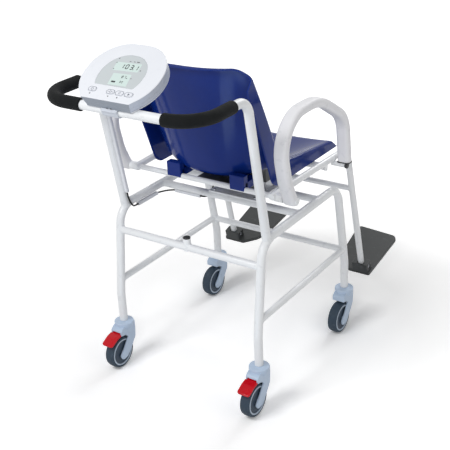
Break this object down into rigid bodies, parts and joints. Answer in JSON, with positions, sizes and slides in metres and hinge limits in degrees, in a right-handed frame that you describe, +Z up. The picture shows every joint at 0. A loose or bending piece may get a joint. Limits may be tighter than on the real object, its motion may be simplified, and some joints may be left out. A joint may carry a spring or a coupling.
{
  "type": "chair scale",
  "caption": "Wheeled weighing chair: moulded seat hung on a load cell in a white tube frame, with swing-up armrests, flip-up footplates and a display on the push handle.",
  "frame": {"origin": "on the floor, under the middle of the whole object's box", "axes": "+Z up, +Y the way the sitter faces, +X to the sitter's right"},
  "size_m": [0.6106, 1.0784, 1.0444],
  "materials": {
    "frame_paint": "satin white powder coat",
    "duct_plastic": "white plastic channel",
    "grip_foam": "black foam, fine pores",
    "black_rubber": "dull black rubber",
    "armrest_pad": "soft light grey skin",
    "carrier_paint": "black powder coat",
    "cell_aluminium": "milled",
    "footplate_plastic": "grained charcoal plastic",
    "pin_steel": "zinc plated",
    "shell_plastic": "glossy dark blue moulding",
    "head_white": "satin white moulding",
    "head_grey": "fine grained grey moulding",
    "window_film": "clear window over light grey film",
    "board_green": "solder mask",
    "battery_sleeve": "shrink sleeve",
    "key_grey": "soft grey key cap",
    "castor_grey": "smooth blue-grey plastic",
    "castor_wheel": "smooth plastic",
    "castor_tyre": "dull dark blue-grey tread",
    "pedal_red": "glossy red"
  },
  "bodies": {
    "chassis": {"side_frame_left": "frame_paint", "side_frame_right": "frame_paint", "upper_crossbar_rear": "frame_paint", "upper_crossbar_front": "frame_paint", "lower_crossbar_rear": "frame_paint", "lower_crossbar_front": "frame_paint", "stretcher_left": "frame_paint", "stretcher_right": "frame_paint", "push_handle": "frame_paint", "seat_rail_left": "frame_paint", "seat_rail_right": "frame_paint", "seat_bar_rear": "frame_paint", "seat_bar_front": "frame_paint", "foot_crossbar": "frame_paint", "arm_pivot_left": "frame_paint", "arm_pivot_right": "frame_paint", "load_cell_base": "frame_paint", "cable_duct_upright": "duct_plastic", "cable_duct_rail": "duct_plastic", "cable_duct_crossbar": "duct_plastic", "grip_left": "grip_foam", "grip_right": "grip_foam", "socket_plug": "black_rubber", "stop_pad_left": "black_rubber", "stop_pad_right": "black_rubber", "signal_cable": "black_rubber", "seat_carrier": "carrier_paint", "load_cell": "cell_aluminium", "seat_shell": "shell_plastic"},
    "castor_rear_left": {"castor_fork_rear_left": "castor_grey"},
    "wheel_rear_left": {"castor_wheel_rear_left": "castor_wheel", "castor_tyre_rear_left": "castor_tyre"},
    "castor_rear_right": {"castor_fork_rear_right": "castor_grey"},
    "wheel_rear_right": {"castor_wheel_rear_right": "castor_wheel", "castor_tyre_rear_right": "castor_tyre"},
    "castor_front_left": {"castor_fork_front_left": "castor_grey"},
    "wheel_front_left": {"castor_wheel_front_left": "castor_wheel", "castor_tyre_front_left": "castor_tyre"},
    "castor_front_right": {"castor_fork_front_right": "castor_grey"},
    "wheel_front_right": {"castor_wheel_front_right": "castor_wheel", "castor_tyre_front_right": "castor_tyre"},
    "brake_left": {"brake_pedal_left": "pedal_red"},
    "brake_right": {"brake_pedal_right": "pedal_red"},
    "arm_left": {"armrest_left": "armrest_pad"},
    "arm_right": {"armrest_right": "armrest_pad"},
    "foot_left": {"footplate_left": "footplate_plastic", "foot_pin_left": "pin_steel"},
    "foot_right": {"footplate_right": "footplate_plastic", "foot_pin_right": "pin_steel"},
    "display": {"display_top_cover": "head_white", "display_bottom_cover": "head_grey", "battery_pack": "battery_sleeve", "display_window": "window_film", "display_board": "board_green", "display_bracket": "head_grey"},
    "button_power": {"key_power": "key_grey"},
    "button_zero": {"key_zero": "key_grey"},
    "button_hold": {"key_hold": "key_grey"},
    "button_mode": {"key_mode": "key_grey"}
  },
  "joints": [
    {"name": "castor_swivel_rear_left", "type": "hinge", "parent": "chassis", "child": "castor_rear_left", "pos_m": [-0.2435, -0.28421, 0.144], "axis": [0, 0, 1], "continuous": true},
    {"name": "wheel_spin_rear_left", "type": "hinge", "parent": "castor_rear_left", "child": "wheel_rear_left", "pos_m": [-0.2435, -0.31921, 0.05], "axis": [1, 0, 0], "continuous": true},
    {"name": "castor_swivel_rear_right", "type": "hinge", "parent": "chassis", "child": "castor_rear_right", "pos_m": [0.2435, -0.28421, 0.144], "axis": [0, 0, 1], "continuous": true},
    {"name": "wheel_spin_rear_right", "type": "hinge", "parent": "castor_rear_right", "child": "wheel_rear_right", "pos_m": [0.2435, -0.31921, 0.05], "axis": [1, 0, 0], "continuous": true},
    {"name": "castor_swivel_front_left", "type": "hinge", "parent": "chassis", "child": "castor_front_left", "pos_m": [-0.2435, 0.22579, 0.144], "axis": [0, 0, 1], "continuous": true},
    {"name": "wheel_spin_front_left", "type": "hinge", "parent": "castor_front_left", "child": "wheel_front_left", "pos_m": [-0.2435, 0.19079, 0.05], "axis": [1, 0, 0], "continuous": true},
    {"name": "castor_swivel_front_right", "type": "hinge", "parent": "chassis", "child": "castor_front_right", "pos_m": [0.2435, 0.22579, 0.144], "axis": [0, 0, 1], "continuous": true},
    {"name": "wheel_spin_front_right", "type": "hinge", "parent": "castor_front_right", "child": "wheel_front_right", "pos_m": [0.2435, 0.19079, 0.05], "axis": [1, 0, 0], "continuous": true},
    {"name": "brake_pedal_left", "type": "hinge", "parent": "castor_rear_left", "child": "brake_left", "pos_m": [-0.2435, -0.31621, 0.1145], "axis": [1, 0, 0], "range_deg": [0, 8]},
    {"name": "brake_pedal_right", "type": "hinge", "parent": "castor_rear_right", "child": "brake_right", "pos_m": [0.2435, -0.31621, 0.1145], "axis": [1, 0, 0], "range_deg": [0, 8]},
    {"name": "armrest_swing_left", "type": "hinge", "parent": "chassis", "child": "arm_left", "pos_m": [-0.281, -0.16321, 0.606], "axis": [1, 0, 0], "range_deg": [0, 100]},
    {"name": "armrest_swing_right", "type": "hinge", "parent": "chassis", "child": "arm_right", "pos_m": [0.281, -0.16321, 0.606], "axis": [1, 0, 0], "range_deg": [0, 100]},
    {"name": "footplate_flip_left", "type": "hinge", "parent": "chassis", "child": "foot_left", "pos_m": [-0.248, 0.33852, 0.1718], "axis": [1, 0, 0], "range_deg": [0, 85]},
    {"name": "footplate_flip_right", "type": "hinge", "parent": "chassis", "child": "foot_right", "pos_m": [0.248, 0.33852, 0.1718], "axis": [1, 0, 0], "range_deg": [0, 85]},
    {"name": "display_tilt", "type": "hinge", "parent": "chassis", "child": "display", "pos_m": [0, -0.50921, 0.917], "axis": [1, 0, 0], "range_deg": [-15, 25]},
    {"name": "press_power", "type": "slide", "parent": "display", "child": "button_power", "axis": [0, 0.5, -0.866], "range_m": [0, 0.001], "stiffness_N_per_m": 400},
    {"name": "press_zero", "type": "slide", "parent": "display", "child": "button_zero", "axis": [0, 0.5, -0.866], "range_m": [0, 0.001], "stiffness_N_per_m": 400},
    {"name": "press_hold", "type": "slide", "parent": "display", "child": "button_hold", "axis": [0, 0.5, -0.866], "range_m": [0, 0.001], "stiffness_N_per_m": 400},
    {"name": "press_mode", "type": "slide", "parent": "display", "child": "button_mode", "axis": [0, 0.5, -0.866], "range_m": [0, 0.001], "stiffness_N_per_m": 400}
  ]
}
